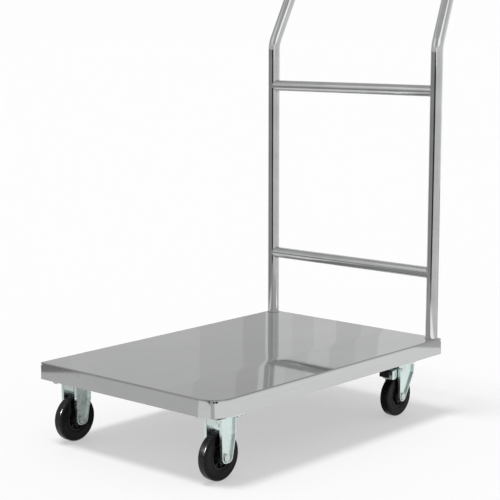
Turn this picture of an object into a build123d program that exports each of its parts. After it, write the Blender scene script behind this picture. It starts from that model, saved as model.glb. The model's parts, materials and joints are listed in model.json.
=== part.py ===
from build123d import *
import math
import os

# Hotel luggage cart: a folded stainless deck on four casters with a fixed push handle.
# Sizes are millimetres. +X points to the free end of the cart, away from the handle, +Y to the
# cart's left and +Z up. Shapes are drawn about the deck's centre on the floor, and each one is
# moved by frame_shift when it is written, so that the origin is the bottom centre of the overall box.

os.makedirs("parts", exist_ok=True)

# ---- deck ----
deck_length = 900.0
deck_width = 600.0
deck_top = 206.0
skirt_depth = 43.0
deck_sheet = 1.5
tight_corner_radius = 5.0
wide_corner_radius = 55.0
deck_fold_radius = 3.0
return_flange_width = 12.0
relief_slot = (12.0, 4.0)
relief_slot_drop = 5.5

# ---- handle ----
tube_diameter = 32.0
tube_wall = 1.5
bar_diameter = 30.0
handle_x = -430.0
handle_y = 280.0
bend_height = 988.0
bend_radius = 80.0
rake_angle = 25.0
grip_height = 1184.0
grip_corner_y = 267.0
grip_corner_radius = 65.0
upper_bar_height = 870.0
lower_bar_height = 385.0

# ---- sockets under the deck that hold the handle ----
socket_wall = 1.2
socket_floor = 3.0
socket_floor_height = 166.0
socket_gap = 0.2
plug_length = 15.0
spanner_hole_radius = 12.0

# ---- channels under the deck ----
channel_bottom = 159.5
channel_sheet = 2.0
channel_half_width = 50.0
channel_flange = 12.0
front_channel_half_length = 285.0
rear_channel_half_length = 262.0
stiffener_depth = 25.0
stiffener_half_width = 20.0
stiffener_half_length = 290.0
stiffener_x = 115.0
channel_gap = 2.0

# ---- casters ----
plate_size = (95.0, 85.0)
plate_thickness = 3.0
plate_corner_radius = 7.0
plate_bolt_x = 35.0
plate_bolt_y = 30.0
front_plate = (383.0, 247.0)
front_axle_ahead = 2.0
rear_swivel = (-383.0, 224.0)
rear_trail = 37.0
front_wheel_radius = 58.5
rear_wheel_radius = 55.5
tyre_width = 25.0
tyre_seat_share = 0.54
fork_sheet = 2.5
fork_lip = 5.0
fork_bend = 4.5
front_half_gap = 20.5
rear_half_gap = 17.5
fork_tip_radius = 13.0

# ---- front fork, placed from the axle ----
front_fork_tips = (-7.0, 2.5)
front_fork_x = (-31.0, 18.0)
front_fork_taper = 50.0
apron_bottom = 133.0
apron_slit = 2.0

# ---- rear fork, placed from the swivel axis ----
rear_fork_rear_x = -14.0
rear_fork_taper = 58.0

# ---- swivel bearing of a rear caster ----
crown_radius = 31.0
crown_bottom = 142.0
crown_top = 147.5
boss_bottom = 150.5
boss_radii = (30.0, 19.0)
upper_race = (24.0, 149.0)
upper_ball_radius = 3.0
upper_ball_count = 20
lower_race = (13.0, 140.5)
lower_ball_radius = 2.5
lower_ball_count = 12
moving_ball_gap = 0.35
resting_ball_gap = 0.05
kingpin_radius = 5.5
kingpin_cup = (16.8, 135.0, 139.0)

# ---- wheel bearing ----
sleeve_radii = (7.5, 5.2)
bearing_clearance = 0.05
bearing_outer_radius = 13.0
bearing_width = 8.0
hub_half_width = 16.0
hub_rim_thickness = 4.0
hub_web_half = 3.5
hub_wall = 4.5
hub_rib_count = 8
tyre_shoulder = 6.0
tyre_inner_round = 1.2
moulding_line = (2.0, 0.5)
bead_line = (3.4, 0.9)
hub_rim_inset = 1.5
hub_rib_thickness = 3.0
axle_radius = 5.0
hole_gap = 0.1

# ---- brake lever of a rear caster, placed from the swivel axis ----
brake_pin = (36.0, 128.0)
brake_pin_radius = 3.0
lever_half_width = 15.5
lever_sheet = 2.0
lever_front_x = 73.0
lever_front_bottom = 106.0
lever_foot_length = 14.0
lever_cheek_radius = 7.0
lever_lid_start = 12.0
tongue_top = 129.0
tongue_end_x = 86.0
tongue_half_width = 11.0
pedal_half_width = 15.0
pedal_start_x = 74.0
pedal_end_x = 90.5
pedal_low = 121.0
pedal_high = 131.5
pedal_lip_bottom = 114.0
pedal_lip_thickness = 4.5
pedal_rib_height = 0.7
pedal_rib_count = 3
pedal_rib_pitch = 4.5
pedal_rib_width = 1.6
pedal_rib_inset = 3.0
pin_head = (5.0, 1.8)
spring_wire_radius = 0.7
spring_clearance = 2.6
spring_turns = 7
spring_pitch = 2.4

# ---- fasteners: M8 for the casters, M10 for the handle and the axles ----
m8 = {"radius": 4.0, "flats": 13.0, "head": 5.3, "nut": 6.5}
m10 = {"radius": 5.0, "flats": 17.0, "head": 6.4, "nut": 8.0}
m8_hole = 4.5
bolt_past_nut = 2.5

# ---- worked out from the above ----
deck_underside = deck_top - deck_sheet
skirt_bottom = deck_top - skirt_depth
tube_radius = tube_diameter / 2
bar_radius = bar_diameter / 2
grip_x = handle_x - (grip_height - bend_height) * math.tan(math.radians(rake_angle))
frame_shift = -(deck_length / 2 + grip_x - tube_radius) / 2
plate_top = channel_bottom
plate_bottom = plate_top - plate_thickness
front_axle_x = front_plate[0] + front_axle_ahead
rear_axle_x = rear_swivel[0] + rear_trail
SIDES = {"left": 1, "right": -1}


# ---- helpers ----
def save(node, *solids):
    """Move the solids into the cart's frame and write them as one node."""
    moved = [Pos(frame_shift, 0, 0) * solid for solid in solids]
    whole = moved[0] if len(moved) == 1 else Compound(children=moved)
    export_step(whole, f"parts/{node}.step")


def upright_rod(radius, low, high):
    """A rod along Z from low to high."""
    return Pos(0, 0, (low + high) / 2) * Cylinder(radius, high - low)


def upright_tube(outer, inner, low, high):
    return upright_rod(outer, low, high) - upright_rod(inner, low - 1, high + 1)


def cross_rod(radius, y_low, y_high):
    """A rod along Y from y_low to y_high."""
    return Pos(0, (y_low + y_high) / 2, 0) * Rot(90, 0, 0) * Cylinder(radius, y_high - y_low)


def cross_tube(outer, inner, y_low, y_high):
    return cross_rod(outer, y_low, y_high) - cross_rod(inner, y_low - 1, y_high + 1)


def block(x_range, y_range, z_range):
    size = [high - low for low, high in (x_range, y_range, z_range)]
    middle = [(high + low) / 2 for low, high in (x_range, y_range, z_range)]
    return Pos(*middle) * Box(*size)


def hexagon(flats, low, high):
    """A hexagonal prism along Z, two of its flats facing +X and -X, with its rims chamfered."""
    corner = flats / math.sqrt(3)
    prism = Pos(0, 0, low) * extrude(RegularPolygon(corner, 6, rotation=30), high - low)
    height = high - low
    rim = flats / 2 + (corner - flats / 2) * 0.35
    cone = Pos(0, 0, low + height / 2) * Cylinder(corner + 0.2, height)
    cone = chamfer(cone.edges().filter_by(GeomType.CIRCLE), corner + 0.2 - rim, (corner - rim) * 0.6)
    return prism & cone


def spun(*points):
    """A ring about the Y axis from (radius, y) points of its half section."""
    return revolve(make_face(Polyline(*points, close=True)), Axis.Y)


def side_prism(outline, y_low, y_high):
    """An outline drawn in X and Z, extruded between two Y values."""
    return Pos(0, y_high, 0) * extrude(Plane.XZ * outline, y_high - y_low)


def hull_outline(circles, points):
    """The tight outline round circles (x, z, radius) and points (x, z)."""
    edges = []
    for x, z, radius in circles:
        edges += (Pos(x, z) * Circle(radius)).edges()
    for start, end in zip(points, points[1:]):
        edges.append(Line(start, end).edge())
    return make_hull(edges)


# ---- deck ----
def deck_plan(inset):
    """The deck seen from above, drawn in by inset: the front left corner is ground to a wide round."""
    length, width = deck_length - 2 * inset, deck_width - 2 * inset
    plan = Rectangle(length, width)
    corners = plan.vertices().sort_by(lambda corner: corner.X + corner.Y)
    if tight_corner_radius > inset:
        plan = fillet(corners[:3], tight_corner_radius - inset)
    wide = plan.vertices().sort_by(lambda corner: corner.X + corner.Y)[-1]
    return fillet(wide, wide_corner_radius - inset)


def rounded_slab(inset, fold, low, high):
    """A slab on the deck's plan with its top edges rounded by fold."""
    slab = Pos(0, 0, low) * extrude(deck_plan(inset), high - low)
    return fillet(slab.edges().group_by(Axis.Z)[-1], fold)


def deck_panel():
    """The folded sheet: top, four skirts and the flange turned in along them but at the wide round."""
    panel = rounded_slab(0, deck_fold_radius, skirt_bottom, deck_top)
    panel -= rounded_slab(
        deck_sheet, deck_fold_radius - deck_sheet, skirt_bottom - 1, deck_underside
    )
    flange = deck_plan(deck_sheet / 2) - deck_plan(deck_sheet + return_flange_width)
    wide_corner = Rectangle(2 * wide_corner_radius, 2 * wide_corner_radius)
    flange -= Pos(deck_length / 2, deck_width / 2) * wide_corner
    panel += Pos(0, 0, skirt_bottom) * extrude(flange, deck_sheet)
    for side in SIDES.values():
        hole = upright_rod(tube_radius + socket_gap, deck_underside - 1, deck_top + 1)
        spanner_hole = upright_rod(
            spanner_hole_radius, skirt_bottom - 1, skirt_bottom + deck_sheet + 1
        )
        panel -= Pos(handle_x, side * handle_y, 0) * (hole + spanner_hole)
        for end in (1, -1):
            wide = end > 0 and side > 0
            panel -= relief_cutter(end, side, wide_corner_radius if wide else tight_corner_radius)
    return panel


def relief_cutter(end, side, radius):
    """A short slot through a welded corner, just under its top fold."""
    centre = (
        end * (deck_length / 2 - radius),
        side * (deck_width / 2 - radius),
        deck_top - relief_slot_drop,
    )
    outward = Vector(end, side, 0)
    plane = Plane(origin=centre, x_dir=Vector(-side, end, 0), z_dir=outward)
    return extrude(plane * SlotOverall(*relief_slot), radius + 3)


def hat_channel(half_width, flange, sheet, half_length, bottom, top, bend=3.0):
    """A hat section along Y with its crown at the bottom and its flanges against the deck."""
    w = half_width
    points = [
        (-w, bottom), (w, bottom), (w, top - sheet), (w + flange, top - sheet), (w + flange, top),
        (w - sheet, top), (w - sheet, bottom + sheet), (-w + sheet, bottom + sheet),
        (-w + sheet, top), (-w - flange, top), (-w - flange, top - sheet), (-w, top - sheet),
    ]
    outer_bends = [points[0], points[1], points[5], points[8]]
    inner_bends = [points[2], points[6], points[7], points[11]]
    section = make_face(Polyline(*points, close=True))

    def at(places):
        return [
            corner for corner in section.vertices()
            if any(abs(corner.X - x) + abs(corner.Y - y) < 0.01 for x, y in places)
        ]

    section = fillet(at(outer_bends), bend)
    section = fillet(at(inner_bends), bend - sheet)
    return side_prism(section, -half_length, half_length)


def bolt_places(centre):
    """The four bolt positions of a caster plate whose centre is given."""
    return [
        (centre[0] + dx * plate_bolt_x, centre[1] + dy * plate_bolt_y)
        for dx in (1, -1)
        for dy in (1, -1)
    ]


def cross_channel(centre, half_length):
    """The wide channel over two casters, with their bolt holes in its crown."""
    channel = hat_channel(
        channel_half_width, channel_flange, channel_sheet, half_length, channel_bottom, deck_underside
    )
    inside = extrude(deck_plan(deck_sheet + channel_gap), deck_top)
    channel = (Pos(centre[0], 0, 0) * channel) & inside
    for side in SIDES.values():
        for x, y in bolt_places((centre[0], side * centre[1])):
            channel -= Pos(x, y, 0) * upright_rod(m8_hole, channel_bottom - 1, channel_bottom + 4)
    return channel


# ---- handle ----
def handle_path():
    corners = [
        (handle_x, -handle_y, socket_floor_height + socket_floor + socket_gap),
        (handle_x, -handle_y, bend_height),
        (grip_x, -grip_corner_y, grip_height),
        (grip_x, grip_corner_y, grip_height),
        (handle_x, handle_y, bend_height),
        (handle_x, handle_y, socket_floor_height + socket_floor + socket_gap),
    ]
    radii = [bend_radius, grip_corner_radius, grip_corner_radius, bend_radius]
    return FilletPolyline(*corners, radius=radii)


def handle_tube():
    """The bent tube in one piece, its straight grip between the corner bends drawn as a cylinder."""
    path = handle_path()
    start = Plane(origin=path @ 0, z_dir=path % 0)
    ring = Circle(tube_radius) - Circle(tube_radius - tube_wall)
    tube = sweep(start * ring, path=path)
    reach = path.edges().filter_by(GeomType.LINE).sort_by(Axis.Z)[-1].length / 2
    place = Pos(grip_x, 0, grip_height)
    tube -= place * cross_rod(tube_diameter, -reach, reach)
    return tube + place * cross_tube(tube_radius, tube_radius - tube_wall, -reach, reach)


def crossbar(height):
    """A tube between the uprights, its ends coped to sit on them."""
    bar = cross_tube(bar_radius, bar_radius - tube_wall, -handle_y, handle_y)
    bar = Pos(handle_x, 0, height) * bar
    for side in SIDES.values():
        cope = upright_rod(tube_radius, height - tube_diameter, height + tube_diameter)
        bar -= Pos(handle_x, side * handle_y, 0) * cope
    return bar.solids().sort_by(SortBy.VOLUME)[-1]


def handle_socket():
    """A pressed cup welded under the deck, its floor bored for the handle's bolt."""
    inner = tube_radius + socket_gap
    cup = upright_rod(inner + socket_wall, socket_floor_height, deck_underside)
    cup = chamfer(cup.edges().filter_by(GeomType.CIRCLE), 0.5)
    cup -= upright_rod(inner, socket_floor_height + socket_floor, deck_underside + 1)
    return cup - upright_rod(m10["radius"] + 0.5, socket_floor_height - 1, socket_floor_height + 4)


def handle_plug():
    """The tapped plug welded into the end of the handle tube."""
    low = socket_floor_height + socket_floor + socket_gap
    plug = upright_tube(
        tube_radius - tube_wall, m10["radius"] + hole_gap, low, low + plug_length
    )
    return chamfer(plug.edges().filter_by(GeomType.CIRCLE).group_by(Axis.Z)[-1], 0.8)


def handle_bolt():
    low = socket_floor_height
    top = low + socket_floor + plug_length + bolt_past_nut
    shank = upright_rod(m10["radius"], low, top)
    return shank + hexagon(m10["flats"], low - m10["head"], low)


# ---- parts that every caster has ----
def caster_plate():
    """The top plate, drawn about its own centre."""
    plate = extrude(RectangleRounded(*plate_size, plate_corner_radius), plate_thickness)
    plate = Pos(0, 0, plate_bottom) * plate
    plate = fillet(plate.edges().group_by(Axis.Z)[0], 0.8)
    for x, y in bolt_places((0, 0)):
        plate -= Pos(x, y, 0) * upright_rod(m8_hole, plate_bottom - 1, plate_top + 1)
    return plate


def caster_bolt():
    """The bolt that hangs a plate from its channel, head inside the channel."""
    seat = channel_bottom + channel_sheet
    tip = plate_bottom - m8["nut"] - bolt_past_nut
    shank = chamfer(upright_rod(m8["radius"], tip, seat).edges().group_by(Axis.Z)[0], 0.7)
    return shank + hexagon(m8["flats"], seat, seat + m8["head"])


def caster_nut():
    nut = hexagon(m8["flats"], plate_bottom - m8["nut"], plate_bottom)
    return nut - upright_rod(m8["radius"] + hole_gap, plate_bottom - m8["nut"] - 1, plate_bottom + 1)


def axle_bolt(fork_outer):
    """A hexagon bolt along Y, its head on the +Y side of the fork."""
    end = -fork_outer - m10["nut"] - bolt_past_nut
    shank = cross_rod(axle_radius, end, fork_outer)
    shank = chamfer(shank.edges().filter_by(GeomType.CIRCLE).group_by(Axis.Y)[0], 0.8)
    return shank + Rot(-90, 0, 0) * hexagon(m10["flats"], fork_outer, fork_outer + m10["head"])


def axle_nut(fork_outer):
    low = -fork_outer - m10["nut"]
    nut = Rot(-90, 0, 0) * hexagon(m10["flats"], low, -fork_outer)
    return nut - cross_rod(axle_radius + hole_gap, low - 1, -fork_outer + 1)


def axle_sleeve(half_gap):
    return cross_tube(*sleeve_radii, -half_gap, half_gap)


def bearing(side):
    """One sealed ball bearing: outer ring, inner ring and a shield sunk between them."""
    outer_face = side * hub_half_width
    inner_face = side * (hub_half_width - bearing_width)
    shield = side * (hub_half_width - 0.6)
    inner = sleeve_radii[0] + bearing_clearance
    return spun(
        (inner, inner_face), (bearing_outer_radius, inner_face), (bearing_outer_radius, outer_face),
        (bearing_outer_radius - 1.4, outer_face), (bearing_outer_radius - 1.4, shield),
        (inner + 1.4, shield), (inner + 1.4, outer_face), (inner, outer_face),
    )


def wheel_sizes(radius):
    """The tyre's inner radius and the hub rim's inner radius for a wheel of this radius."""
    seat = radius * tyre_seat_share
    return seat, seat - hub_rim_thickness


def tyre(radius):
    """A solid tyre: full shoulders, a flat tread, and a bead line and a moulding line on each side."""
    seat, _ = wheel_sizes(radius)
    half = tyre_width / 2
    section = Pos((seat + radius) / 2, 0) * Rectangle(radius - seat, tyre_width)
    section = fillet(section.vertices().group_by(Axis.X)[-1], tyre_shoulder)
    section = fillet(section.vertices().group_by(Axis.X)[0], tyre_inner_round)
    for side in SIDES.values():
        moulding_radius = radius - tyre_shoulder - moulding_line[0]
        section -= Pos(moulding_radius, side * half) * Circle(moulding_line[1])
        section -= Pos(seat + bead_line[0], side * half) * Circle(bead_line[1])
    return revolve(section, Axis.Y)


def hub(radius):
    """The moulded wheel centre: bearing housing, web with ribs and the rim under the tyre."""
    seat, rim = wheel_sizes(radius)
    barrel = bearing_outer_radius + hub_wall
    pocket = hub_half_width - bearing_width
    bore = bearing_outer_radius - 3.0
    rim_half = tyre_width / 2 - hub_rim_inset
    web = hub_web_half
    body = spun(
        (bore, -pocket), (bearing_outer_radius, -pocket), (bearing_outer_radius, -hub_half_width),
        (barrel, -hub_half_width), (barrel + 1.5, -web), (rim - 1.0, -web),
        (rim, -rim_half), (seat, -rim_half), (seat, rim_half), (rim, rim_half),
        (rim - 1.0, web), (barrel + 1.5, web), (barrel, hub_half_width),
        (bearing_outer_radius, hub_half_width), (bearing_outer_radius, pocket), (bore, pocket),
    )
    thick = (-hub_rib_thickness / 2, hub_rib_thickness / 2)
    rib = block((barrel - 1, rim + 1), (-rim_half + 2, rim_half - 2), thick)
    for turn in range(hub_rib_count):
        body += Rot(0, turn * 360 / hub_rib_count, 0) * rib
    return body


def channel_section(half_gap, inner_top, low):
    """A U upside down in Y and Z: a crown over two legs, its bends rounded."""
    outer_top = inner_top + fork_sheet
    outer = Pos(0, (outer_top + low) / 2) * Rectangle(2 * (half_gap + fork_sheet), outer_top - low)
    outer = fillet(outer.vertices().group_by(Axis.Y)[-1], fork_bend)
    inner = Pos(0, (inner_top + low) / 2 - 1) * Rectangle(2 * half_gap, inner_top - low + 2)
    inner = fillet(inner.vertices().group_by(Axis.Y)[-1], fork_bend - fork_sheet)
    return outer - inner


def fork_shell(outline, half_gap, inner_top, low, x_range):
    """Crown and legs cut to an outline in X and Z, with a lip turned out round each leg."""
    outer = half_gap + fork_sheet
    section = channel_section(half_gap, inner_top, low)
    shell = Pos(x_range[0], 0, 0) * extrude(Plane.YZ * section, x_range[1] - x_range[0])
    shell &= side_prism(outline, -outer - 1, outer + 1)
    rim = outline - offset(outline, -fork_sheet)
    rim_top = inner_top - fork_bend - 1.5
    rim &= Pos(0, (low + rim_top) / 2) * Rectangle(deck_width, rim_top - low)
    for side in SIDES.values():
        near = outer if side > 0 else -outer - fork_lip
        shell += side_prism(rim, near, near + fork_lip)
    return shell


# ---- fixed front caster, drawn about its axle's place on the floor ----
def front_fork():
    """A pressed fork whose front edge is upright and whose rear edge narrows to the axle."""
    r = front_wheel_radius
    inner_top = plate_bottom - fork_sheet
    rear_x, front_x = front_fork_x
    tips = [(x, r, fork_tip_radius) for x in front_fork_tips]
    corners = [(front_x, plate_bottom), (rear_x, plate_bottom), (rear_x, r + front_fork_taper)]
    outline = hull_outline(tips, corners)
    fork = fork_shell(outline, front_half_gap, inner_top, r - 2 * fork_tip_radius, front_fork_x)
    across = front_half_gap - apron_slit
    fork += block(
        (front_x - fork_sheet, front_x), (-across, across), (apron_bottom, inner_top + 1)
    )
    reach = front_half_gap + fork_sheet + 1
    return fork - Pos(0, 0, r) * cross_rod(axle_radius + hole_gap, -reach, reach)


# ---- swivel rear caster, drawn about its swivel axis's place on the floor ----
def torus_about(race, radius):
    return Pos(0, 0, race[1]) * Torus(race[0], radius)


def rear_plate():
    """A caster plate with a pressed boss that carries the upper ball race."""
    plate = caster_plate()
    plate += upright_tube(*boss_radii, boss_bottom, plate_bottom + 1)
    plate -= torus_about(upper_race, upper_ball_radius + moving_ball_gap)
    return plate - upright_rod(kingpin_radius, boss_bottom - 1, plate_top + 1)


def kingpin():
    """The rivet through the plate, with the cup that carries the lower ball race."""
    cup_radius, cup_low, cup_high = kingpin_cup
    pin = upright_rod(kingpin_radius, cup_low, plate_top)
    cup = chamfer(upright_rod(cup_radius, cup_low, cup_high).edges().group_by(Axis.Z)[0], 1.0)
    return pin + cup - torus_about(lower_race, lower_ball_radius + moving_ball_gap)


def balls(race, radius, count):
    placed = []
    for turn in range(count):
        angle = math.radians(turn * 360 / count)
        x = race[0] * math.cos(angle)
        y = race[0] * math.sin(angle)
        placed.append(Pos(x, y, race[1]) * Sphere(radius))
    return placed


def race_balls():
    upper = balls(upper_race, upper_ball_radius, upper_ball_count)
    return upper + balls(lower_race, lower_ball_radius, lower_ball_count)


def dust_seal():
    """The ring that closes the gap between the plate's boss and the fork's crown."""
    low, high = crown_bottom + fork_sheet, boss_bottom + 1.5
    ring = upright_tube(crown_radius + 2, crown_radius, low, high)
    return fillet(ring.edges().group_by(Axis.Z)[-1], 0.6)


def rear_fork():
    """A fork that trails its wheel, with the ball crown on top and a hole for the brake pin."""
    r = rear_wheel_radius
    front_x = rear_trail + fork_tip_radius
    inner_top = crown_bottom
    top = inner_top + fork_sheet
    corners = [(front_x, top), (rear_fork_rear_x, top), (rear_fork_rear_x + 2, r + rear_fork_taper)]
    outline = hull_outline([(rear_trail, r, fork_tip_radius)], corners)
    x_range = (rear_fork_rear_x, front_x)
    fork = fork_shell(outline, rear_half_gap, inner_top, r - 2 * fork_tip_radius, x_range)
    fork += upright_rod(crown_radius, crown_bottom, crown_top)
    fork -= upright_rod(kingpin_radius + 2.5, crown_bottom - 1, crown_top + 1)
    fork -= torus_about(upper_race, upper_ball_radius + resting_ball_gap)
    fork -= torus_about(lower_race, lower_ball_radius + resting_ball_gap)
    reach = rear_half_gap + fork_sheet + fork_lip + 1
    fork -= Pos(rear_trail, 0, r) * cross_rod(axle_radius + hole_gap, -reach, reach)
    pin_hole = cross_rod(brake_pin_radius + hole_gap, -reach, reach)
    return fork - Pos(brake_pin[0], 0, brake_pin[1]) * pin_hole


def pin_with_heads():
    """The brake pin, its two flat heads outside the fork's legs."""
    outer = rear_half_gap + fork_sheet
    head_radius, head_height = pin_head
    pin = cross_rod(brake_pin_radius, -outer, outer)
    for side in SIDES.values():
        near = outer if side > 0 else -outer - head_height
        pin += cross_rod(head_radius, near, near + head_height)
    return Pos(brake_pin[0], 0, brake_pin[1]) * pin


def brake_spring():
    """The torsion spring coiled round the pin between the lever's cheeks."""
    length = spring_turns * spring_pitch
    path = Helix(spring_pitch, length, brake_pin_radius + spring_clearance)
    start = Plane(origin=path @ 0, z_dir=path % 0)
    coil = sweep(start * Circle(spring_wire_radius), path=path)
    coil = Rot(90, 0, 0) * Pos(0, 0, -length / 2) * coil
    return Pos(brake_pin[0], 0, brake_pin[1]) * coil


def tongue():
    """The flat end of the lever that the pedal is moulded over."""
    across = (-tongue_half_width, tongue_half_width)
    return block((lever_front_x, tongue_end_x), across, (tongue_top - lever_sheet, tongue_top))


def brake_lever():
    """Two cheeks on the pin, a front face whose lower edge is the brake shoe, and a tongue."""
    corners = [
        (lever_front_x, tongue_top), (lever_front_x, lever_front_bottom),
        (lever_front_x - lever_foot_length, lever_front_bottom),
    ]
    cheek = hull_outline([(*brake_pin, lever_cheek_radius)], corners)
    lever = side_prism(cheek, lever_half_width - lever_sheet, lever_half_width)
    lever += side_prism(cheek, -lever_half_width, -lever_half_width + lever_sheet)
    across = (-lever_half_width, lever_half_width)
    front = (lever_front_x - lever_sheet, lever_front_x)
    lever += block(front, across, (lever_front_bottom, tongue_top))
    lid = (brake_pin[0] + lever_lid_start, lever_front_x)
    lever += block(lid, across, (tongue_top - lever_sheet, tongue_top))
    lever += tongue()
    hole = cross_rod(brake_pin_radius + hole_gap, -lever_half_width - 1, lever_half_width + 1)
    return lever - Pos(brake_pin[0], 0, brake_pin[1]) * hole


def brake_pedal():
    """The moulded cover over the tongue, with a lip turned down at its end and grip ribs on top."""
    across = (-pedal_half_width, pedal_half_width)
    lip = (pedal_end_x - pedal_lip_thickness, pedal_end_x)
    cover = block((pedal_start_x, pedal_end_x), across, (pedal_low, pedal_high))
    cover += block(lip, across, (pedal_lip_bottom, pedal_high))
    cover = fillet(cover.edges().filter_by(Axis.Y), 1.4)
    ends = cover.edges().group_by(Axis.Y)
    cover = fillet(ends[0] + ends[-1], 0.9)
    rib_across = (-pedal_half_width + pedal_rib_inset, pedal_half_width - pedal_rib_inset)
    for index in range(pedal_rib_count):
        x = pedal_start_x + pedal_rib_inset + index * pedal_rib_pitch
        z_range = (pedal_high - 0.5, pedal_high + pedal_rib_height)
        rib = block((x, x + pedal_rib_width), rib_across, z_range)
        cover += rib
    return cover - tongue()


# ---- write the nodes ----
def write_chassis():
    save("deck_panel", deck_panel())
    save("cross_channel_front", cross_channel(front_plate, front_channel_half_length))
    save("cross_channel_rear", cross_channel(rear_swivel, rear_channel_half_length))
    stiffener = hat_channel(
        stiffener_half_width, channel_flange, deck_sheet, stiffener_half_length,
        deck_underside - stiffener_depth, deck_underside,
    )
    save("stiffener_front", Pos(stiffener_x, 0, 0) * stiffener)
    save("stiffener_rear", Pos(-stiffener_x, 0, 0) * stiffener)
    for name, side in SIDES.items():
        save(f"handle_socket_{name}", Pos(handle_x, side * handle_y, 0) * handle_socket())


def write_handle():
    save("handle_tube", handle_tube())
    save("upper_crossbar", crossbar(upper_bar_height))
    save("lower_crossbar", crossbar(lower_bar_height))
    ends = [Pos(handle_x, side * handle_y, 0) for side in SIDES.values()]
    save("handle_plugs", *[end * handle_plug() for end in ends])
    save("handle_bolts", *[end * handle_bolt() for end in ends])


def write_caster_fasteners():
    places = []
    for side in SIDES.values():
        for centre in (front_plate, rear_swivel):
            places += bolt_places((centre[0], side * centre[1]))
    save("mounting_bolts", *[Pos(x, y, 0) * caster_bolt() for x, y in places])
    save("mounting_nuts", *[Pos(x, y, 0) * caster_nut() for x, y in places])


def write_wheel(corner, axle, radius, half_gap):
    """Everything on one axle. The axle's place holds its X, Y and height."""
    fork_outer = half_gap + fork_sheet
    save(f"{corner}_axle_bolt", axle * axle_bolt(fork_outer))
    save(f"{corner}_axle_nut", axle * axle_nut(fork_outer))
    save(f"{corner}_axle_sleeve", axle * axle_sleeve(half_gap))
    save(f"{corner}_bearings", *[axle * bearing(side) for side in SIDES.values()])
    save(f"{corner}_hub", axle * hub(radius))
    save(f"{corner}_tyre", axle * tyre(radius))


def write_front_caster(corner, side):
    y = side * front_plate[1]
    save(f"{corner}_plate", Pos(front_plate[0], y, 0) * caster_plate())
    save(f"{corner}_fork", Pos(front_axle_x, y, 0) * front_fork())
    axle = Pos(front_axle_x, y, front_wheel_radius)
    write_wheel(corner, axle, front_wheel_radius, front_half_gap)


def write_rear_caster(corner, side):
    y = side * rear_swivel[1]
    place = Pos(rear_swivel[0], y, 0)
    save(f"{corner}_plate", place * rear_plate())
    save(f"{corner}_kingpin", place * kingpin())
    save(f"{corner}_race_balls", *[place * ball for ball in race_balls()])
    save(f"{corner}_dust_seal", place * dust_seal())
    save(f"{corner}_fork", place * rear_fork())
    save(f"{corner}_brake_lever", place * brake_lever())
    save(f"{corner}_brake_pedal", place * brake_pedal())
    save(f"{corner}_brake_pin", place * pin_with_heads())
    save(f"{corner}_brake_spring", place * brake_spring())
    axle = Pos(rear_axle_x, y, rear_wheel_radius)
    write_wheel(corner, axle, rear_wheel_radius, rear_half_gap)


def main():
    write_chassis()
    write_handle()
    write_caster_fasteners()
    for name, side in SIDES.items():
        write_front_caster(f"front_{name}", side)
        write_rear_caster(f"rear_{name}", side)


main()
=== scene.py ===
import json
import math

import bmesh
import bpy
from mathutils import Matrix, Vector

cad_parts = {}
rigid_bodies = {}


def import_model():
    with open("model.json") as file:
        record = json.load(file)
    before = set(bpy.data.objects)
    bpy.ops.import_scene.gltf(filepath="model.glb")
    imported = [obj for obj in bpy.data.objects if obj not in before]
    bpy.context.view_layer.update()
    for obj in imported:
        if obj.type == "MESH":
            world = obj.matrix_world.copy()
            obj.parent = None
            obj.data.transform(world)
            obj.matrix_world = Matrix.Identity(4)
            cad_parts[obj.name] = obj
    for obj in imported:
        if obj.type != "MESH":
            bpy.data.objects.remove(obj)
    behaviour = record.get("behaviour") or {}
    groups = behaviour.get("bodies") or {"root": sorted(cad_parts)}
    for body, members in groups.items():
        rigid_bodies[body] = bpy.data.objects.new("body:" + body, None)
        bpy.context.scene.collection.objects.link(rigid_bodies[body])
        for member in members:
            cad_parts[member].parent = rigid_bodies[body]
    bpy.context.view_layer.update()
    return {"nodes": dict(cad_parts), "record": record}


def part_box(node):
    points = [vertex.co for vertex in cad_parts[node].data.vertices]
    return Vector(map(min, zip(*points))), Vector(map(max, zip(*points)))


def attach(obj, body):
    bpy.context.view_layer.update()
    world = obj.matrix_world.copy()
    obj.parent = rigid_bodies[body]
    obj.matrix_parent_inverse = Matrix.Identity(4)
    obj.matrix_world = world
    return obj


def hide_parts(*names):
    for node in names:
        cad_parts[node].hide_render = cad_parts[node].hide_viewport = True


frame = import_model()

# A hotel luggage cart: folded stainless deck, polished tube handle, four zinc-plated casters.
# Everything is in metres in the part's own frame: +X to the free end, +Y to the left, +Z up.

MM = 0.001

# ---- camera, at the place and angle the cart was seen from ----
CAMERA_PLACE = (2.794, 2.4262, 1.0419)
CAMERA_HEADING = -2.420
CAMERA_TILT = -0.155
CAMERA_LENS = 103.7
CAMERA_SENSOR = 36.0
CAMERA_CLIP = (0.05, 200.0)

# ---- sizes of the parts that are built again here, in millimetres ----
TUBE_RADIUS = 16.0
BAR_RADIUS = 15.0
BEND_HEIGHT = 988.0
BEND_RADIUS = 80.0
GRIP_CORNER_Y = 267.0
GRIP_CORNER_RADIUS = 65.0
TYRE_WIDTH = 25.0
TYRE_SHOULDER = 6.0
TYRE_SEAT_SHARE = 0.54
TYRE_INNER_ROUND = 1.2
# Lines moulded in a tyre's sidewall: distance from the seat or the shoulder, and half width.
BEAD_LINE = (3.4, 0.9)
MOULDING_LINE = (2, 0.5)
BALL_RADII = (3.0, 2.5)
BALL_COUNTS = (20, 12)
BALL_PITCHES = (24.0, 13.0)
BALL_HEIGHTS = (149.0, 140.5)
SPRING_RADIUS = 5.6
SPRING_WIRE = 0.7
SPRING_PITCH = 2.4
SPRING_TURNS = 7
# Weld beads: radius, points round the bead, ripple depth as a share of the radius, ripples.
BAR_WELD = (1.7, 72, 0.16, 18)
FOOT_WELD = (1.6, 96, 0.14, 24)
FOOT_WELD_GAP = 0.3
FOOT_WELD_RISE = 0.2
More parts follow.
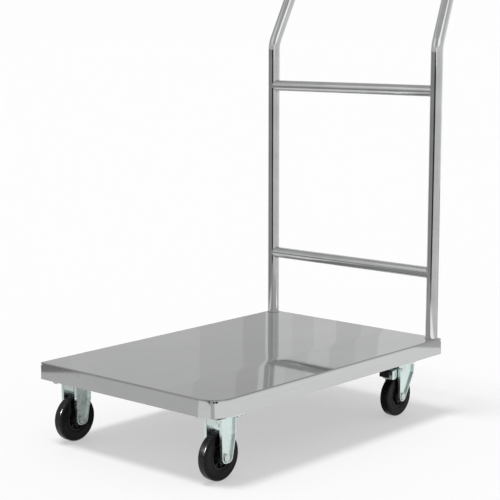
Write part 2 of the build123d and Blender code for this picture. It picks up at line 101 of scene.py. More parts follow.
# The sunk rivet in the front skirt, in metres, then its turned profile as (radius, out) in millimetres.
RIVET_Y = -0.1594
RIVET_DROP = 0.0141
RIVET_PROFILE = ((0.2, 0.0), (1.3, 0.05), (1.5, 0.5), (2.4, 0.55), (3.0, 0.25), (3.2, -0.3))
RIVET_SIDES = 32

# ---- the deck sheet: a painted shade line under its folds, and its fall towards the left edge ----
FOLD_SHADE_DROP = 0.0042
FOLD_SHADE_HALF = 0.0024
CROWN_START = 0.128
CROWN_EASE = 0.03
CROWN_SLOPE = 0.039

# ---- studio ----
FLOOR_COLOUR = 0.57
FLOOR_GLOW = 0.43
FLOOR_REACH = 60.0
OVERHEAD_STRENGTH = 1.62
OVERHEAD_ANGLE = 15.0
OVERHEAD_TRAVEL = (-0.14, 0.13, -1.0)
# Brightness of the room, by height above the horizon (the upward part of the direction).
SKY = ((0.0, 0.985), (0.06, 0.985), (0.16, 0.66), (0.5, 0.5), (0.8, 0.42), (1.0, 0.38))
# Standing cards round the cart: from and to (degrees from +X), foot and top (metres), brightness.
# The narrow ones behind it are what the deck mirrors, and the high ones what the bent tube mirrors.
CARD_DISTANCE = 1.35
CARD_STEP = 3
STANDING_CARDS = (
    (162, 187, 0.0, 1.15, 0.72), (187, 197, 0.0, 1.15, 0.8), (197, 202, 0.0, 1.15, 0.81),
    (202, 205.5, 0.0, 1.15, 0.71), (205.5, 209.3, 0.0, 1.15, 0.665), (209.3, 212.7, 0.0, 1.15, 0.73),
    (212.7, 216, 0.0, 1.15, 0.68), (216, 220, 0.0, 1.15, 0.72), (220, 223.4, 0.0, 1.15, 0.55),
    (223.4, 230, 0.0, 1.15, 0.61), (230, 250, 0.0, 1.15, 0.65),
    (-115, -75, 1.15, 1.8, 0.42), (-62, -12, 1.5, 2.4, 0.8), (8, 55, 1.45, 2.6, 0.4),
    (36, 50, 0.92, 1.3, 1.1), (62, 104, 1.3, 2.1, 1.15),
)
# Stripes that run out over the floor and up a far ring: from and to (degrees), brightness. The uprights
# mirror them. They stay low, so that the deck mirrors only the pale ring above them.
STRIPES = (
    (-96, -50, 0.26), (-50, -3.3, 0.28), (-3.3, 26.5, 0.02), (26.5, 37.5, 0.55),
    (37.5, 107, 0.62), (107, 156, 0.66),
)
STRIPE_NEAR = 1.3
STRIPE_FAR = 12.0
STRIPE_TOP = 1.3
PALE_TOP = 3.4
PALE_BASE = 0.45
PALE_SHARE = 0.35
# Cards laid on the floor: from and to (degrees), near and far edge (metres), brightness.
# The first, dark card round the cart's foot is painted shade: it stands for the shadow under the deck
# in what the forks and tyres mirror.
LAID_CARDS = (
    (0, 360, 0.0, 0.34, 0.2), (-125, -6, 0.62, 1.3, 0.72), (-6, 29, 0.62, 1.3, 1.0),
    (29, 39, 0.62, 1.3, 0.68), (39, 150, 0.62, 1.3, 1.12),
    (150, 262, 0.52, 6.0, 0.32),
)
LAID_HEIGHT = 0.001
# A small lamp beside the camera's left that only the tyres catch.
TYRE_LAMP_PLACE = (2.1, -0.5, 1.1)
TYRE_LAMP_SIZE = (0.5, 0.5)
TYRE_LAMP_POWER = 300.0


# ---- places read from the frame ----
def centre(node):
    low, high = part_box(node)
    return (low + high) / 2


DECK_LOW, DECK_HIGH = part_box("deck_panel")
GRIP_LOW, GRIP_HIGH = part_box("handle_tube")
HANDLE_X = centre("handle_socket_left").x
HANDLE_Y = centre("handle_socket_left").y
GRIP_X = GRIP_LOW.x + TUBE_RADIUS * MM
GRIP_HEIGHT = GRIP_HIGH.z - TUBE_RADIUS * MM
SIDES = {"left": 1, "right": -1}


# ---------------------------------------------------------------- materials
class Paint:
    """One procedural material, with short calls for the nodes that it is made of."""

    def __init__(self, name, colour, metallic, roughness, **fixed):
        self.material = bpy.data.materials.new(name)
        self.material.use_nodes = True
        self.tree = self.material.node_tree
        self.shader = self.tree.nodes["Principled BSDF"]
        self.put("Base Color", (*colour, 1.0))
        self.put("Metallic", metallic)
        self.put("Roughness", roughness)
        for socket, value in fixed.items():
            self.put(socket.replace("_", " "), value)
        self.material.diffuse_color = (*colour, 1.0)
        self.material.metallic = metallic

    def put(self, socket, value):
        self.shader.inputs[socket].default_value = value

    def join(self, output, socket):
        self.tree.links.new(output, self.shader.inputs[socket])

    def node(self, kind, sockets=None, **settings):
        made = self.tree.nodes.new(kind)
        for key, value in settings.items():
            setattr(made, key, value)
        for key, value in (sockets or {}).items():
            if isinstance(value, bpy.types.NodeSocket):
                self.tree.links.new(value, made.inputs[key])
            else:
                made.inputs[key].default_value = value
        return made

    def place(self, stretch=(1.0, 1.0, 1.0), output="Object", turn=(0.0, 0.0, 0.0)):
        """The surface's own coordinates, stretched."""
        source = self.node("ShaderNodeTexCoord").outputs[output]
        mapped = self.node("ShaderNodeMapping", {"Vector": source, "Scale": stretch, "Rotation": turn})
        return mapped.outputs["Vector"]

    def noise(self, vector, scale, detail=3.0, rough=0.55, distortion=0.0):
        sockets = {
            "Vector": vector, "Scale": scale, "Detail": detail,
            "Roughness": rough, "Distortion": distortion,
        }
        return self.node("ShaderNodeTexNoise", sockets).outputs["Fac"]

    def cells(self, vector, scale, feature="F1"):
        return self.node("ShaderNodeTexVoronoi", {"Vector": vector, "Scale": scale}, feature=feature)

    def span(self, value, low, high, to_low=0.0, to_high=1.0):
        """The value carried from one range to another, smoothly and no further."""
        sockets = {
            "Value": value, "From Min": low, "From Max": high, "To Min": to_low, "To Max": to_high,
        }
        made = self.node("ShaderNodeMapRange", sockets, interpolation_type="SMOOTHSTEP")
        return made.outputs["Result"]

    def math(self, operation, first, second=0.0, third=0.0):
        sockets = {0: first, 1: second, 2: third}
        return self.node("ShaderNodeMath", sockets, operation=operation).outputs[0]

    def mix(self, factor, first, second):
        """A colour between two, each a colour or another node's output."""
        made = self.node("ShaderNodeMix", {"Factor": factor}, data_type="RGBA")
        for index, value in ((6, first), (7, second)):
            if isinstance(value, bpy.types.NodeSocket):
                self.tree.links.new(value, made.inputs[index])
            else:
                made.inputs[index].default_value = (*value, 1.0)
        return made.outputs[2]

    def along(self, axis):
        """How far along one axis of the part a point lies, in metres."""
        return self.node("ShaderNodeSeparateXYZ", {"Vector": self.place()}).outputs[axis]

    def band(self, axis, middle, half):
        """One inside a soft-edged band across an axis, nought outside it."""
        away = self.math("ABSOLUTE", self.math("SUBTRACT", self.along(axis), middle))
        return self.span(away, half * 0.4, half, 1.0, 0.0)

    def bump(self, height, distance, strength=1.0, after=None):
        sockets = {"Height": height, "Distance": distance, "Strength": strength}
        if after is not None:
            sockets["Normal"] = after
        return self.node("ShaderNodeBump", sockets).outputs["Normal"]


def polished_sheet():
    """Deck sheet: a soft mirror with rolling lines along the cart, faint smears and slight waves."""
    paint = Paint("polished_sheet", (0.49, 0.495, 0.495), 1.0, 0.1)
    lines = paint.noise(paint.place((3.0, 900.0, 900.0)), 1.0, 4.0, 0.7)
    smears = paint.noise(paint.place((1.0, 2.2, 2.2)), 3.4, 5.0, 0.6, 0.4)
    scratches = paint.noise(paint.place((14.0, 260.0, 260.0), turn=(0, 0, 0.35)), 1.0, 2.0, 0.5)
    light = paint.mix(paint.span(lines, 0.3, 0.7), (0.465, 0.47, 0.47), (0.515, 0.52, 0.52))
    smeared = paint.mix(paint.span(smears, 0.35, 0.7, 0.0, 0.35), light, (0.555, 0.555, 0.56))
    # A darker band just under the top fold of the skirts: painted shade, standing for the dark line
    # that the rounded fold shows.
    painted_fold_shade = paint.band("Z", DECK_HIGH.z - FOLD_SHADE_DROP, FOLD_SHADE_HALF)
    paint.join(paint.mix(painted_fold_shade, smeared, (0.46, 0.46, 0.465)), "Base Color")
    smeared_rough = paint.span(smears, 0.3, 0.72, 0.03, 0.06)
    rough = paint.math("ADD", smeared_rough, paint.span(lines, 0.35, 0.7, 0.0, 0.015))
    paint.join(paint.math("ADD", rough, paint.span(scratches, 0.68, 0.74, 0.0, 0.07)), "Roughness")
    waves = paint.bump(paint.noise(paint.place((2.4, 2.4, 0.4)), 1.0, 1.0, 0.4), 0.0012)
    past = paint.math("SUBTRACT", CROWN_START, paint.along("Y"))
    crown = paint.math("SMOOTH_MIN", past, 0.0, CROWN_EASE)
    crowned = paint.bump(crown, CROWN_SLOPE, after=waves)
    paint.join(paint.bump(lines, 0.000004, after=crowned), "Normal")
    return paint.material


def frame_sheet():
    """Channels and sockets under the deck: dull mill finish."""
    paint = Paint("frame_sheet", (0.5, 0.5, 0.5), 1.0, 0.36)
    lines = paint.noise(paint.place((500.0, 4.0, 500.0)), 1.0, 4.0, 0.6)
    stains = paint.noise(paint.place(), 9.0, 5.0, 0.6)
    stained = paint.mix(paint.span(stains, 0.3, 0.7), (0.4, 0.4, 0.4), (0.54, 0.54, 0.545))
    paint.join(stained, "Base Color")
    paint.join(paint.span(lines, 0.3, 0.7, 0.28, 0.44), "Roughness")
    paint.join(paint.bump(lines, 0.00001), "Normal")
    return paint.material


def polished_tube():
    """Handle tube: bright, with buffing lines round it and a faint ripple along it."""
    paint = Paint("polished_tube", (0.7, 0.705, 0.71), 1.0, 0.08)
    lines = paint.noise(paint.place((60.0, 6.0, 1.0), output="UV"), 40.0, 3.0, 0.6)
    haze = paint.noise(paint.place(), 14.0, 4.0, 0.6)
    hazed = paint.mix(paint.span(haze, 0.3, 0.7), (0.66, 0.665, 0.67), (0.74, 0.745, 0.75))
    paint.join(hazed, "Base Color")
    hazed_rough = paint.span(haze, 0.35, 0.7, 0.05, 0.1)
    rough = paint.math("ADD", hazed_rough, paint.span(lines, 0.4, 0.7, 0.0, 0.04))
    paint.join(rough, "Roughness")
    ripple = paint.noise(paint.place((1.0, 1.0, 0.35)), 40.0, 2.0, 0.5)
    paint.join(paint.bump(lines, 0.000002, after=paint.bump(ripple, 0.00004)), "Normal")
    return paint.material


def weld_metal():
    """A ground weld: rippled, duller than the tube, straw coloured by its heat."""
    paint = Paint("weld_metal", (0.5, 0.49, 0.47), 1.0, 0.3)
    mottle = paint.noise(paint.place(), 240.0, 4.0, 0.6)
    paint.join(paint.mix(mottle, (0.42, 0.4, 0.37), (0.6, 0.59, 0.57)), "Base Color")
    paint.join(paint.span(mottle, 0.3, 0.7, 0.22, 0.42), "Roughness")
    paint.join(paint.bump(mottle, 0.0003), "Normal")
    return paint.material


def zinc_plate():
    """Bright zinc over pressed steel: pale, a little blue-green, in soft patches with fine pits."""
    paint = Paint("zinc_plate", (0.7, 0.76, 0.75), 1.0, 0.3)
    patches = paint.noise(paint.place(), 55.0, 4.0, 0.6, 0.3)
    grain = paint.noise(paint.place(), 900.0, 3.0, 0.6)
    tint = paint.mix(paint.span(patches, 0.3, 0.7), (0.61, 0.73, 0.705), (0.72, 0.79, 0.77))
    pitted = paint.span(grain, 0.55, 0.75, 0.0, 0.35)
    paint.join(paint.mix(pitted, tint, (0.55, 0.6, 0.6)), "Base Color")
    paint.join(paint.span(patches, 0.3, 0.75, 0.22, 0.4), "Roughness")
    paint.join(paint.bump(grain, 0.00001), "Normal")
    return paint.material


def bright_fastener():
    """Bolts, nuts and pins: turned, plated and lightly scuffed."""
    paint = Paint("bright_fastener", (0.62, 0.64, 0.65), 1.0, 0.26)
    scuffs = paint.noise(paint.place(), 320.0, 4.0, 0.65)
    paint.join(paint.mix(scuffs, (0.48, 0.5, 0.5), (0.74, 0.76, 0.77)), "Base Color")
    paint.join(paint.span(scuffs, 0.3, 0.7, 0.18, 0.4), "Roughness")
    paint.join(paint.bump(scuffs, 0.00003), "Normal")
    return paint.material


def greased_steel(name, colour):
    """Balls, races, bearing rings and springs: ground steel under a film of oil."""
    paint = Paint(name, colour, 1.0, 0.2, Coat_Weight=0.4, Coat_Roughness=0.1)
    film = paint.noise(paint.place(), 260.0, 3.0, 0.6)
    dark = tuple(c * 0.62 for c in colour)
    paint.join(paint.mix(paint.span(film, 0.35, 0.7), dark, colour), "Base Color")
    paint.join(paint.span(film, 0.3, 0.7, 0.14, 0.34), "Roughness")
    paint.join(paint.bump(film, 0.00002), "Normal")
    return paint.material


def black_rubber():
    """Tyre rubber: a smooth moulded skin with a sheen, dustier in patches."""
    paint = Paint("black_rubber", (0.003, 0.003, 0.0035), 0.0, 0.2, Specular_IOR_Level=0.17)
    dust = paint.noise(paint.place(), 60.0, 5.0, 0.65)
    skin = paint.noise(paint.place(), 1500.0, 3.0, 0.6)
    dusty = paint.span(dust, 0.5, 0.8, 0.0, 0.7)
    clean, dusted = (0.0018, 0.0018, 0.0022), (0.006, 0.0058, 0.0056)
    paint.join(paint.mix(dusty, clean, dusted), "Base Color")
    paint.join(paint.span(dust, 0.35, 0.75, 0.16, 0.3), "Roughness")
    paint.join(paint.bump(skin, 0.00001), "Normal")
    return paint.material


def black_plastic(name, low_rough, high_rough, grain_scale):
    """Moulded black plastic with a fine spark-eroded grain."""
    paint = Paint(name, (0.006, 0.006, 0.0065), 0.0, 0.4, Specular_IOR_Level=0.25)
    wear = paint.noise(paint.place(), 80.0, 4.0, 0.6)
    grain = paint.cells(paint.place(), grain_scale).outputs["Distance"]
    worn = paint.span(wear, 0.45, 0.8, 0.0, 0.8)
    paint.join(paint.mix(worn, (0.005, 0.005, 0.0055), (0.018, 0.018, 0.019)), "Base Color")
    paint.join(paint.span(wear, 0.3, 0.7, low_rough, high_rough), "Roughness")
    paint.join(paint.bump(grain, 0.00008), "Normal")
    return paint.material


def studio_floor():
    """Plain white paper, with its fine tooth."""
    paint = Paint("studio_floor", (FLOOR_COLOUR,) * 3, 0.0, 0.9, Specular_IOR_Level=0.0)
    paint.put("Emission Color", (1.0, 1.0, 1.0, 1.0))
    paint.put("Emission Strength", FLOOR_GLOW)
    tooth = paint.noise(paint.place(), 500.0, 3.0, 0.5)
    paint.join(paint.bump(tooth, 0.0001), "Normal")
    return paint.material


MATERIALS = {
    "deck_steel": polished_sheet(),
    "frame_steel": frame_sheet(),
    "tube_steel": polished_tube(),
    "zinc_steel": zinc_plate(),
    "fastener_steel": bright_fastener(),
    "bearing_steel": greased_steel("bearing_steel", (0.52, 0.52, 0.52)),
    "spring_steel": greased_steel("spring_steel", (0.3, 0.3, 0.31)),
    "tyre_rubber": black_rubber(),
    "hub_plastic": black_plastic("hub_plastic", 0.32, 0.5, 1200.0),
    "pedal_plastic": black_plastic("pedal_plastic", 0.4, 0.58, 900.0),
}
WELD = weld_metal()
SLOT_OF = {row["node"]: row["material_slot"] for row in frame["record"]["subparts"]}
BODY_OF = {
    node: body for body, nodes in frame["record"]["behaviour"]["bodies"].items() for node in nodes
}


# ---------------------------------------------------------------- mesh helpers
def new_piece(name, mesh, body, slot, material=None, smooth_angle=35.0):
    """Link a mesh as a piece that rides on a body and takes its finish from a slot."""
    piece = bpy.data.objects.new(name, mesh)
    bpy.context.scene.collection.objects.link(piece)
    mesh.materials.append(material or MATERIALS[slot])
    for face in mesh.polygons:
        face.use_smooth = True
    mesh.set_sharp_from_angle(angle=math.radians(smooth_angle))
    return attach(piece, body)


def filled_mesh(name, vertices, faces, uvs=None):
    """A mesh from lists, its normals facing out, with one UV pair for each face corner."""
    mesh = bpy.data.meshes.new(name)
    mesh.from_pydata(vertices, [], faces)
    if uvs:
        layer = mesh.uv_layers.new(name="along")
        for corner, pair in zip(layer.data, uvs):
            corner.uv = pair
    shape = bmesh.new()
    shape.from_mesh(mesh)
    bmesh.ops.recalc_face_normals(shape, faces=shape.faces)
    shape.to_mesh(mesh)
    shape.free()
    return mesh


def rounded_path(corners, radii, step=math.radians(2.5)):
    """Points along straight runs joined by tangent arcs, one radius for each inner corner."""
    points = [Vector(corners[0])]
    for before, corner, after, radius in zip(corners, corners[1:], corners[2:], radii):
        corner = Vector(corner)
        into = (corner - Vector(before)).normalized()
        out = (Vector(after) - corner).normalized()
        turn = into.angle(out)
        reach = radius * math.tan(turn / 2)
        start = corner - into * reach
        side = (out - into * math.cos(turn)).normalized()
        hub = start + side * radius
        count = max(2, math.ceil(turn / step))
        for index in range(count + 1):
            angle = turn * index / count
            points.append(hub - side * radius * math.cos(angle) + into * radius * math.sin(angle))
    points.append(Vector(corners[-1]))
    return points


def tube_mesh(name, points, radius, sides=48, closed=False, swell=None):
    """A round tube along points, with UVs in metres along it and round it."""
    count = len(points)
    rings, travelled, total = [], [0.0], 0.0
    across = None
    for index, point in enumerate(points):
        ahead = points[(index + 1) % count] if closed else points[min(index + 1, count - 1)]
        behind = points[index - 1] if closed or index else points[0]
        tangent = (ahead - behind).normalized()
        if across is None:
            across = tangent.orthogonal().normalized()
        across = (across - tangent * across.dot(tangent)).normalized()
        up = tangent.cross(across)
        size = radius * (swell(index) if swell else 1.0)
        ring = []
        for turn in range(sides):
            angle = 2 * math.pi * turn / sides
            ring.append(point + across * (size * math.cos(angle)) + up * (size * math.sin(angle)))
        rings.append(ring)
        if index:
            total += (point - points[index - 1]).length
            travelled.append(total)
    vertices = [tuple(v) for ring in rings for v in ring]
    faces, uvs = [], []
    for index in range(count if closed else count - 1):
        following = (index + 1) % count
        low = travelled[index]
        high = travelled[following] if following else total + (points[0] - points[-1]).length
        for turn in range(sides):
            beside = (turn + 1) % sides
            faces.append((
                index * sides + turn, index * sides + beside,
                following * sides + beside, following * sides + turn,
            ))
            a = 2 * math.pi * radius * turn / sides
            b = 2 * math.pi * radius * (turn + 1) / sides
            uvs += [(low, a), (low, b), (high, b), (high, a)]
    if not closed:
        for ring in (0, count - 1):
            faces.append(tuple(ring * sides + turn for turn in range(sides)))
            uvs += [(0.0, 0.0)] * sides
    return filled_mesh(name, vertices, faces, uvs)


def arc(centre_point, radius, start, end, count=8):
    """Points (radius, y) of an arc, angles in degrees from the outward direction towards +Y."""
    made = []
    for index in range(count + 1):
        angle = math.radians(start + (end - start) * index / count)
        made.append((
            centre_point[0] + radius * math.cos(angle), centre_point[1] + radius * math.sin(angle),
        ))
    return made


def wheel_lathe(name, profile, place, segments=160):
    """A closed (radius, y) profile in millimetres turned about the Y axis through place."""
    vertices, faces = [], []
    for turn in range(segments):
        angle = 2 * math.pi * turn / segments
        for radius, across in profile:
            vertices.append((
                place.x + radius * MM * math.cos(angle), place.y + across * MM,
                place.z + radius * MM * math.sin(angle),
            ))
    count = len(profile)
    for turn in range(segments):
        beside = (turn + 1) % segments
        for index in range(count):
            following = (index + 1) % count
            faces.append((
                turn * count + index, turn * count + following,
                beside * count + following, beside * count + index,
            ))
    return filled_mesh(name, vertices, faces)


def soften(node, width, segments=2):
    """Round the sharp edges of a CAD node with modifiers, which leave its own mesh alone."""
    shown = frame["nodes"][node]
    weld = shown.modifiers.new("weld", "WELD")
    weld.merge_threshold = 0.000002
    flat = shown.modifiers.new("flat", "DECIMATE")
    flat.decimate_type = "DISSOLVE"
    flat.angle_limit = math.radians(0.5)
    bevel = shown.modifiers.new("bevel", "BEVEL")
    bevel.width = width * MM
    bevel.segments = segments
    bevel.limit_method = "ANGLE"
    bevel.angle_limit = math.radians(40)
    bevel.use_clamp_overlap = True
    shown.modifiers.new("normals", "WEIGHTED_NORMAL").keep_sharp = True


# ---------------------------------------------------------------- handle
def handle():
    """The bent tube in one piece, from socket to socket."""
    foot = GRIP_LOW.z
    corners = []
    for side in (-1, 1):
        upright = [
            (HANDLE_X, side * HANDLE_Y, foot), (HANDLE_X, side * HANDLE_Y, BEND_HEIGHT * MM),
            (GRIP_X, side * GRIP_CORNER_Y * MM, GRIP_HEIGHT),
        ]
        corners += upright if side < 0 else reversed(upright)
    radii = [r * MM for r in (BEND_RADIUS, GRIP_CORNER_RADIUS, GRIP_CORNER_RADIUS, BEND_RADIUS)]
    mesh = tube_mesh("bent_handle", rounded_path(corners, radii), TUBE_RADIUS * MM, 64)
    piece = new_piece("bent_handle", mesh, "chassis", "tube_steel")
    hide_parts("handle_tube")


def crossbar(node):
    """A straight tube whose ends run into the uprights."""
    height = centre(node).z
    reach = HANDLE_Y - TUBE_RADIUS * MM * 0.5
    ends = [Vector((HANDLE_X, -reach, height)), Vector((HANDLE_X, reach, height))]
    mesh = tube_mesh(f"{node}_tube", ends, BAR_RADIUS * MM, 64)
    piece = new_piece(f"{node}_tube", mesh, "chassis", "tube_steel")
    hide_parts(node)


def rippled(count, depth, ripples):
    """How a weld bead swells and shrinks from point to point round its ring."""
    return lambda index: 1.0 + depth * math.sin(index * 2 * math.pi * ripples / count)


def bar_weld(node, name, side):
    """The bead round a crossbar's end, where it sits in the side of an upright."""
    height = centre(node).z
    bead, count, depth, ripples = BAR_WELD
    points = []
    for index in range(count):
        angle = 2 * math.pi * index / count
        x = BAR_RADIUS * MM * math.cos(angle)
        inward = math.sqrt((TUBE_RADIUS * MM) ** 2 - x * x)
        points.append(Vector((
            HANDLE_X + x, side * (HANDLE_Y - inward), height + BAR_RADIUS * MM * math.sin(angle),
        )))
    swell = rippled(count, depth, ripples)
    mesh = tube_mesh(f"weld_{node}_{name}", points, bead * MM, 12, True, swell)
    new_piece(f"weld_{node}_{name}", mesh, "chassis", "tube_steel", WELD)


def foot_weld(name, side):
    """The bead round an upright where it passes through the deck."""
    bead, count, depth, ripples = FOOT_WELD
    ring = TUBE_RADIUS + FOOT_WELD_GAP
    points = []
    for index in range(count):
        angle = 2 * math.pi * index / count
        points.append(Vector((
            HANDLE_X + ring * MM * math.cos(angle),
            side * HANDLE_Y + ring * MM * math.sin(angle), DECK_HIGH.z + FOOT_WELD_RISE * MM,
        )))
    swell = rippled(count, depth, ripples)
    mesh = tube_mesh(f"weld_foot_{name}", points, bead * MM, 12, True, swell)
    new_piece(f"weld_foot_{name}", mesh, "chassis", "tube_steel", WELD)


# ---------------------------------------------------------------- wheels
def ring_groove(radius, edge, width):
    """A half-round groove in a sidewall, as (radius, y) points from its inner lip to its outer."""
    return sorted(arc((radius, edge), width, -180, 0, 6), key=lambda point: point[0])


def tyre(corner):
    """A solid tyre with round shoulders, and a bead line and a moulding line on each sidewall."""
    node = f"{corner}_tyre"
    low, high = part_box(node)
    outer = (high.z - low.z) / MM / 2
    seat = outer * TYRE_SEAT_SHARE
    half = TYRE_WIDTH / 2
    inner_round = (seat + TYRE_INNER_ROUND, half - TYRE_INNER_ROUND)
    bead = [(seat, half - TYRE_INNER_ROUND)]
    bead += arc(inner_round, TYRE_INNER_ROUND, 180, 90, 4)[1:]
    positive = bead + ring_groove(seat + BEAD_LINE[0], half, BEAD_LINE[1])
    positive += ring_groove(outer - TYRE_SHOULDER - MOULDING_LINE[0], half, MOULDING_LINE[1])
    positive += arc((outer - TYRE_SHOULDER, half - TYRE_SHOULDER), TYRE_SHOULDER, 90, 0, 14)
    negative = [(r, -y) for r, y in reversed(positive)]
    mesh = wheel_lathe(f"{corner}_rubber", positive + negative, centre(node))
    piece = new_piece(f"{corner}_rubber", mesh, BODY_OF[node], "tyre_rubber", smooth_angle=50)
    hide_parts(node)


def race_balls(corner):
    """The two rings of steel balls that the fork turns on."""
    node = f"{corner}_race_balls"
    shape = bmesh.new()
    place = centre(f"{corner}_dust_seal")
    for radius, count, pitch, height in zip(BALL_RADII, BALL_COUNTS, BALL_PITCHES, BALL_HEIGHTS):
        for index in range(count):
            angle = 2 * math.pi * index / count
            x = place.x + pitch * MM * math.cos(angle)
            y = place.y + pitch * MM * math.sin(angle)
            at = Matrix.Translation((x, y, height * MM))
            bmesh.ops.create_icosphere(shape, subdivisions=3, radius=radius * MM, matrix=at)
    mesh = bpy.data.meshes.new(f"{corner}_balls")
    shape.to_mesh(mesh)
    shape.free()
    piece = new_piece(f"{corner}_balls", mesh, BODY_OF[node], "bearing_steel", smooth_angle=90)
    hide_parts(node)


def brake_spring(corner):
    """The coil of the torsion spring round the brake pin, without the legs that run under the fork's
    crown and onto the lever.
    """
    node = f"{corner}_brake_spring"
    place = centre(node)
    steps = 28
    half = SPRING_PITCH * SPRING_TURNS * MM / 2
    points = []
    for index in range(steps * SPRING_TURNS + 1):
        angle = 2 * math.pi * index / steps
        points.append(place + Vector((
            SPRING_RADIUS * MM * math.sin(angle), -half + SPRING_PITCH * MM * index / steps,
            SPRING_RADIUS * MM * math.cos(angle),
        )))
    mesh = tube_mesh(f"{corner}_spring_coil", points, SPRING_WIRE * MM, 12)
    piece = new_piece(f"{corner}_spring_coil", mesh, BODY_OF[node], "spring_steel")
    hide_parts(node)


# ---------------------------------------------------------------- small trim
def skirt_rivet():
    """A small sunk rivet in the front skirt, just under the fold."""
    place = Vector((DECK_HIGH.x, RIVET_Y, DECK_HIGH.z - RIVET_DROP))
    vertices, faces = [], []
    sides = RIVET_SIDES
    for radius, out in RIVET_PROFILE:
        for turn in range(sides):
            angle = 2 * math.pi * turn / sides
            vertices.append((
                place.x + out * MM, place.y + radius * MM * math.cos(angle),
                place.z + radius * MM * math.sin(angle),
            ))
    for ring in range(len(RIVET_PROFILE) - 1):
        for turn in range(sides):
            beside = (turn + 1) % sides
            faces.append((
                ring * sides + turn, ring * sides + beside,
                (ring + 1) * sides + beside, (ring + 1) * sides + turn,
            ))
    faces.append(tuple(range(sides)))
    mesh = filled_mesh("skirt_rivet", vertices, faces)
    new_piece("skirt_rivet", mesh, "chassis", "fastener_steel")


def finish_cad_nodes():
    """Give every CAD node its material, and round the sharp edges of the pressed parts."""
    for name, shown in frame["nodes"].items():
        shown.data.materials.clear()
        shown.data.materials.append(MATERIALS[SLOT_OF[name]])
    pressed = ("_fork", "_plate", "_brake_lever", "_axle_bolt", "_axle_nut", "_brake_pin")
    for name in frame["nodes"]:
        if name.endswith(pressed):
            soften(name, 0.35)
    for name in ("mounting_nuts", "mounting_bolts", "handle_bolts"):
        soften(name, 0.25)


# ---------------------------------------------------------------- studio
def tyre_lamp():
    """A small square lamp that puts a highlight on the shoulders of the tyres, and on nothing else."""
    lamp = bpy.data.lights.new("tyre_lamp", "AREA")
    lamp.shape = "RECTANGLE"
    lamp.size, lamp.size_y = TYRE_LAMP_SIZE
    lamp.energy = TYRE_LAMP_POWER
    shown = bpy.data.objects.new("tyre_lamp", lamp)
    bpy.context.scene.collection.objects.link(shown)
    shown.location = TYRE_LAMP_PLACE
    shown.rotation_euler = (-Vector(TYRE_LAMP_PLACE)).to_track_quat("-Z", "Y").to_euler()
    lit = bpy.data.collections.new("tyres")
    for piece in bpy.data.objects:
        if piece.name.endswith("_rubber"):
            lit.objects.link(piece)
    shown.light_linking.receiver_collection = lit


def overhead():
    """A wide, even light on the whole floor, which polished steel doesn't mirror."""
    lamp = bpy.data.lights.new("overhead", "SUN")
    lamp.angle = math.radians(OVERHEAD_ANGLE)
    lamp.energy = OVERHEAD_STRENGTH
    shown = bpy.data.objects.new("overhead", lamp)
    bpy.context.scene.collection.objects.link(shown)
    shown.rotation_euler = Vector(OVERHEAD_TRAVEL).to_track_quat("-Z", "Y").to_euler()
    shown.visible_glossy = False


def glow_material(name, brightness):
    """A matt surface that gives off its own light, as a lit studio card does."""
    material = bpy.data.materials.new(name)
    material.use_nodes = True
    shader = material.node_tree.nodes["Principled BSDF"]
    shader.inputs["Base Color"].default_value = (0.0, 0.0, 0.0, 1.0)
    shader.inputs["Roughness"].default_value = 1.0
    shader.inputs["Specular IOR Level"].default_value = 0.0
    shader.inputs["Emission Color"].default_value = (1.0, 1.0, 1.0, 1.0)
    shader.inputs["Emission Strength"].default_value = brightness
    return material


def card(name, sweep, feet, heads, brightness):
    """A curved card round the cart that only polished surfaces see, its edges as (distance, height)."""
    count = max(2, math.ceil((sweep[1] - sweep[0]) / CARD_STEP))
    vertices = []
    for index in range(count + 1):
        angle = math.radians(sweep[0] + (sweep[1] - sweep[0]) * index / count)
        for distance, height in (feet, heads):
            vertices.append((distance * math.cos(angle), distance * math.sin(angle), height))
    faces = [(2 * index, 2 * index + 2, 2 * index + 3, 2 * index + 1) for index in range(count)]
    mesh = bpy.data.meshes.new(name)
    mesh.from_pydata(vertices, [], faces)
    shown = bpy.data.objects.new(name, mesh)
    bpy.context.scene.collection.objects.link(shown)
    mesh.materials.append(glow_material(name, brightness))
    shown.visible_camera = False
    shown.visible_diffuse = False
    shown.visible_shadow = False


def cards():
    """What the polished steel has to mirror: cards standing round the cart, cards laid flat, and
    stripes over the floor that climb a far ring, with a paler stripe above each."""
    for index, (start, end, low, high, brightness) in enumerate(STANDING_CARDS):
        feet, heads = (CARD_DISTANCE, low), (CARD_DISTANCE, high)
        card(f"standing_card_{index}", (start, end), feet, heads, brightness)
    for index, (start, end, near, far, brightness) in enumerate(LAID_CARDS):
        feet, heads = (near, LAID_HEIGHT), (far, LAID_HEIGHT)
        card(f"laid_card_{index}", (start, end), feet, heads, brightness)
    for index, (start, end, brightness) in enumerate(STRIPES):
        sweep = (start, end)
        near, far = (STRIPE_NEAR, LAID_HEIGHT), (STRIPE_FAR, LAID_HEIGHT)
        top, pale_top = (STRIPE_FAR, STRIPE_TOP), (STRIPE_FAR, PALE_TOP)
        card(f"floor_stripe_{index}", sweep, near, far, brightness)
        card(f"ring_stripe_{index}", sweep, far, top, brightness)
        card(f"pale_stripe_{index}", sweep, top, pale_top, PALE_BASE + PALE_SHARE * brightness)


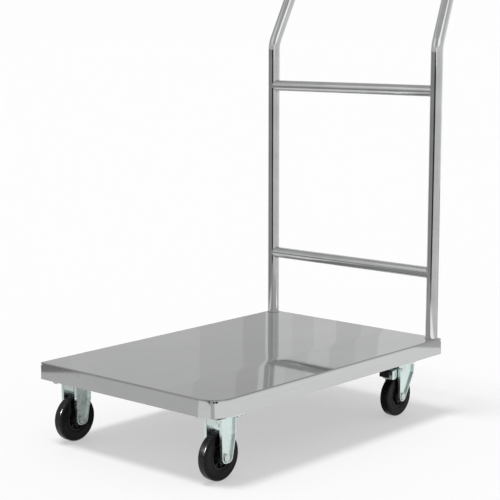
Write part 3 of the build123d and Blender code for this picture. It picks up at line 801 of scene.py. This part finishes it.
def floor():
    """A white floor that gives off part of its own light, so that shadows on it stay pale."""
    mesh = bpy.data.meshes.new("studio_floor")
    corners = [(x * FLOOR_REACH, y * FLOOR_REACH, 0) for x, y in ((-1, -1), (1, -1), (1, 1), (-1, 1))]
    mesh.from_pydata(corners, [], [(0, 1, 2, 3)])
    shown = bpy.data.objects.new("studio_floor", mesh)
    bpy.context.scene.collection.objects.link(shown)
    mesh.materials.append(studio_floor())


def surroundings():
    """A pale room: white at the horizon and greyer above it."""
    world = bpy.data.worlds.new("studio")
    bpy.context.scene.world = world
    world.use_nodes = True
    tree = world.node_tree
    background = tree.nodes["Background"]
    coordinates = tree.nodes.new("ShaderNodeTexCoord")
    split = tree.nodes.new("ShaderNodeSeparateXYZ")
    tree.links.new(coordinates.outputs["Generated"], split.inputs["Vector"])
    ramp = tree.nodes.new("ShaderNodeValToRGB")
    tree.links.new(split.outputs["Z"], ramp.inputs["Fac"])
    while len(ramp.color_ramp.elements) < len(SKY):
        ramp.color_ramp.elements.new(0.5)
    for element, (position, level) in zip(ramp.color_ramp.elements, SKY):
        element.position = position
        element.color = (level, level, level, 1.0)
    tree.links.new(ramp.outputs["Color"], background.inputs["Color"])


def camera():
    """The camera, aimed by its heading from +X and its tilt, with no shift."""
    lens = bpy.data.cameras.new("camera")
    lens.lens = CAMERA_LENS
    lens.sensor_width = CAMERA_SENSOR
    lens.clip_start, lens.clip_end = CAMERA_CLIP
    shown = bpy.data.objects.new("camera", lens)
    bpy.context.scene.collection.objects.link(shown)
    shown.location = CAMERA_PLACE
    forward = Vector((
        math.cos(CAMERA_HEADING) * math.cos(CAMERA_TILT),
        math.sin(CAMERA_HEADING) * math.cos(CAMERA_TILT), math.sin(CAMERA_TILT),
    ))
    shown.rotation_euler = forward.to_track_quat("-Z", "Y").to_euler()
    bpy.context.scene.camera = shown


# ---------------------------------------------------------------- build it
camera()
finish_cad_nodes()
handle()
for bar in ("upper_crossbar", "lower_crossbar"):
    crossbar(bar)
    for side_name, side_sign in SIDES.items():
        bar_weld(bar, side_name, side_sign)
for side_name, side_sign in SIDES.items():
    foot_weld(side_name, side_sign)
    for end in ("front", "rear"):
        tyre(f"{end}_{side_name}")
    race_balls(f"rear_{side_name}")
    brake_spring(f"rear_{side_name}")
skirt_rivet()
floor()
surroundings()
overhead()
tyre_lamp()
cards()
bpy.context.scene.view_settings.view_transform = "Standard"
